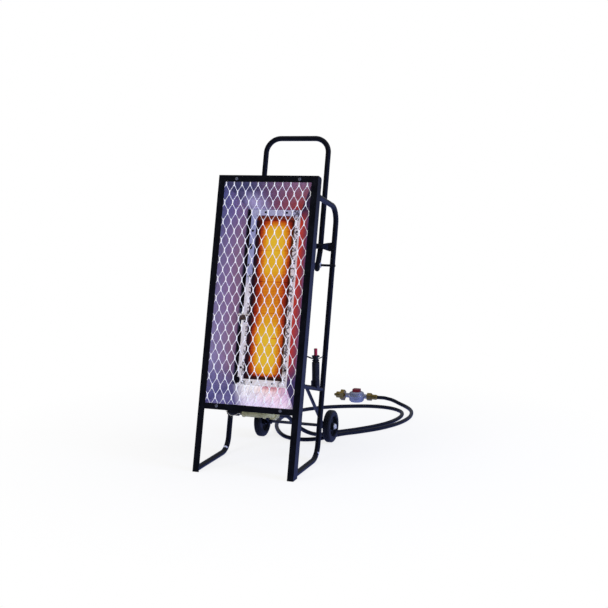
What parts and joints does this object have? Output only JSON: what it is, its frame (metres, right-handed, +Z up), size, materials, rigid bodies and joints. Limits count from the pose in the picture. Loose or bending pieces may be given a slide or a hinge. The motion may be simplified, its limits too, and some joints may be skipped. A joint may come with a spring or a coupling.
{
  "type": "portable radiant heater",
  "caption": "Leaning tube-framed gas radiant heater with a tile burner behind an expanded-metal guard, a folding push handle, two wheels, a gas hose and a regulator",
  "frame": {"origin": "On the floor, under the middle of the heater; the hose and regulator are left out of that middle.", "axes": "+X is the heater's right seen from in front, +Y points from the burner's front to the wheels, +Z is up."},
  "size_m": [0.4295, 1.019, 0.9394],
  "materials": {
    "rail_left": "gloss black enamel",
    "rail_right": "gloss black enamel",
    "rail_top": "gloss black enamel",
    "rail_bottom": "gloss black enamel",
    "side_tube_left": "gloss black enamel",
    "side_tube_right": "gloss black enamel",
    "crossbar": "gloss black enamel",
    "pivot_rod": "gloss black enamel",
    "rod_washers": "zinc plated",
    "handle": "gloss black enamel",
    "handle_plugs": "black moulded",
    "side_bar_left": "gloss black enamel",
    "side_bar_right": "gloss black enamel",
    "strut_left": "gloss black enamel",
    "strut_right": "gloss black enamel",
    "axle": "bright drawn",
    "axle_spacers": "black enamel",
    "axle_caps": "zinc plated",
    "tyre_left": "ribbed black rubber",
    "hub_left": "black moulded",
    "tyre_right": "ribbed black rubber",
    "hub_right": "black moulded",
    "guard": "bright plated expanded metal",
    "reflector_left": "polished sheet",
    "reflector_right": "polished sheet",
    "reflector_top": "polished sheet",
    "reflector_bottom": "polished sheet",
    "frame_screws": "zinc plated",
    "frame_nuts": "zinc plated",
    "burner_frame": "heat tinted sheet",
    "burner_tiles": "perforated ceramic, glowing when lit",
    "burner_gasket": "ceramic paper",
    "burner_box": "aluminised sheet",
    "burner_screws": "oxidised steel",
    "mixing_tube": "aluminised sheet",
    "jet_bracket": "aluminised sheet",
    "gas_jet": "turned",
    "gas_valve": "turned",
    "valve_housing": "black moulded",
    "safety_button": "black moulded",
    "inlet_elbow": "bent and polished",
    "pilot_bracket": "heat tinted sheet",
    "spark_electrode": "glazed ceramic",
    "thermocouple": "heat tinted",
    "thermocouple_lead": "braided sleeve",
    "ignition_cable": "silicone sleeve",
    "igniter_cup": "gloss black enamel",
    "igniter_body": "black moulded",
    "igniter_nut": "black moulded",
    "igniter_button": "red moulded",
    "igniter_stay": "black enamel",
    "hose": "smooth black gas hose",
    "hose_end_heater": "turned",
    "hose_end_regulator": "turned",
    "regulator_body": "die cast, satin",
    "regulator_cap": "dark red moulded",
    "regulator_screws": "zinc plated",
    "inlet_nipple": "turned",
    "inlet_nut": "turned"
  },
  "bodies": {
    "frame": {"rail_left": "rail_left", "rail_right": "rail_right", "rail_top": "rail_top", "rail_bottom": "rail_bottom", "side_tube_left": "side_tube_left", "side_tube_right": "side_tube_right", "crossbar": "crossbar", "pivot_rod": "pivot_rod", "rod_washers": "rod_washers", "side_bar_left": "side_bar_left", "side_bar_right": "side_bar_right", "strut_left": "strut_left", "strut_right": "strut_right", "axle": "axle", "axle_spacers": "axle_spacers", "axle_caps": "axle_caps", "guard": "guard", "reflector_left": "reflector_left", "reflector_right": "reflector_right", "reflector_top": "reflector_top", "reflector_bottom": "reflector_bottom", "frame_screws": "frame_screws", "frame_nuts": "frame_nuts", "burner_frame": "burner_frame", "burner_tiles": "burner_tiles", "burner_gasket": "burner_gasket", "burner_box": "burner_box", "burner_screws": "burner_screws", "mixing_tube": "mixing_tube", "jet_bracket": "jet_bracket", "gas_jet": "gas_jet", "gas_valve": "gas_valve", "valve_housing": "valve_housing", "inlet_elbow": "inlet_elbow", "pilot_bracket": "pilot_bracket", "spark_electrode": "spark_electrode", "thermocouple": "thermocouple", "thermocouple_lead": "thermocouple_lead", "ignition_cable": "ignition_cable", "igniter_cup": "igniter_cup", "igniter_body": "igniter_body", "igniter_nut": "igniter_nut", "igniter_stay": "igniter_stay", "hose": "hose", "hose_end_heater": "hose_end_heater", "hose_end_regulator": "hose_end_regulator", "regulator_body": "regulator_body", "regulator_cap": "regulator_cap", "regulator_screws": "regulator_screws", "inlet_nipple": "inlet_nipple"},
    "handle_part": {"handle": "handle", "handle_plugs": "handle_plugs"},
    "wheel_left": {"tyre_left": "tyre_left", "hub_left": "hub_left"},
    "wheel_right": {"tyre_right": "tyre_right", "hub_right": "hub_right"},
    "safety_part": {"safety_button": "safety_button"},
    "igniter_part": {"igniter_button": "igniter_button"},
    "nut_part": {"inlet_nut": "inlet_nut"}
  },
  "joints": [
    {"name": "handle_fold", "type": "hinge", "parent": "frame", "child": "handle_part", "pos_m": [0, 0.11522, 0.55931], "axis": [-1, 0, 0], "range_deg": [0, 160]},
    {"name": "wheel_left_spin", "type": "hinge", "parent": "frame", "child": "wheel_left", "pos_m": [-0.1135, 0.192, 0.05], "axis": [1, 0, 0], "continuous": true},
    {"name": "wheel_right_spin", "type": "hinge", "parent": "frame", "child": "wheel_right", "pos_m": [0.1135, 0.192, 0.05], "axis": [1, 0, 0], "continuous": true},
    {"name": "safety_button_press", "type": "slide", "parent": "frame", "child": "safety_part", "axis": [1, 0, 0], "range_m": [0, 0.005], "stiffness_N_per_m": 900},
    {"name": "igniter_button_press", "type": "slide", "parent": "frame", "child": "igniter_part", "axis": [0, 0, -1], "range_m": [0, 0.008], "stiffness_N_per_m": 700},
    {"name": "inlet_nut_spin", "type": "hinge", "parent": "frame", "child": "nut_part", "pos_m": [-0.029, 0.745, 0.02], "axis": [-1, 0, 0], "continuous": true}
  ]
}
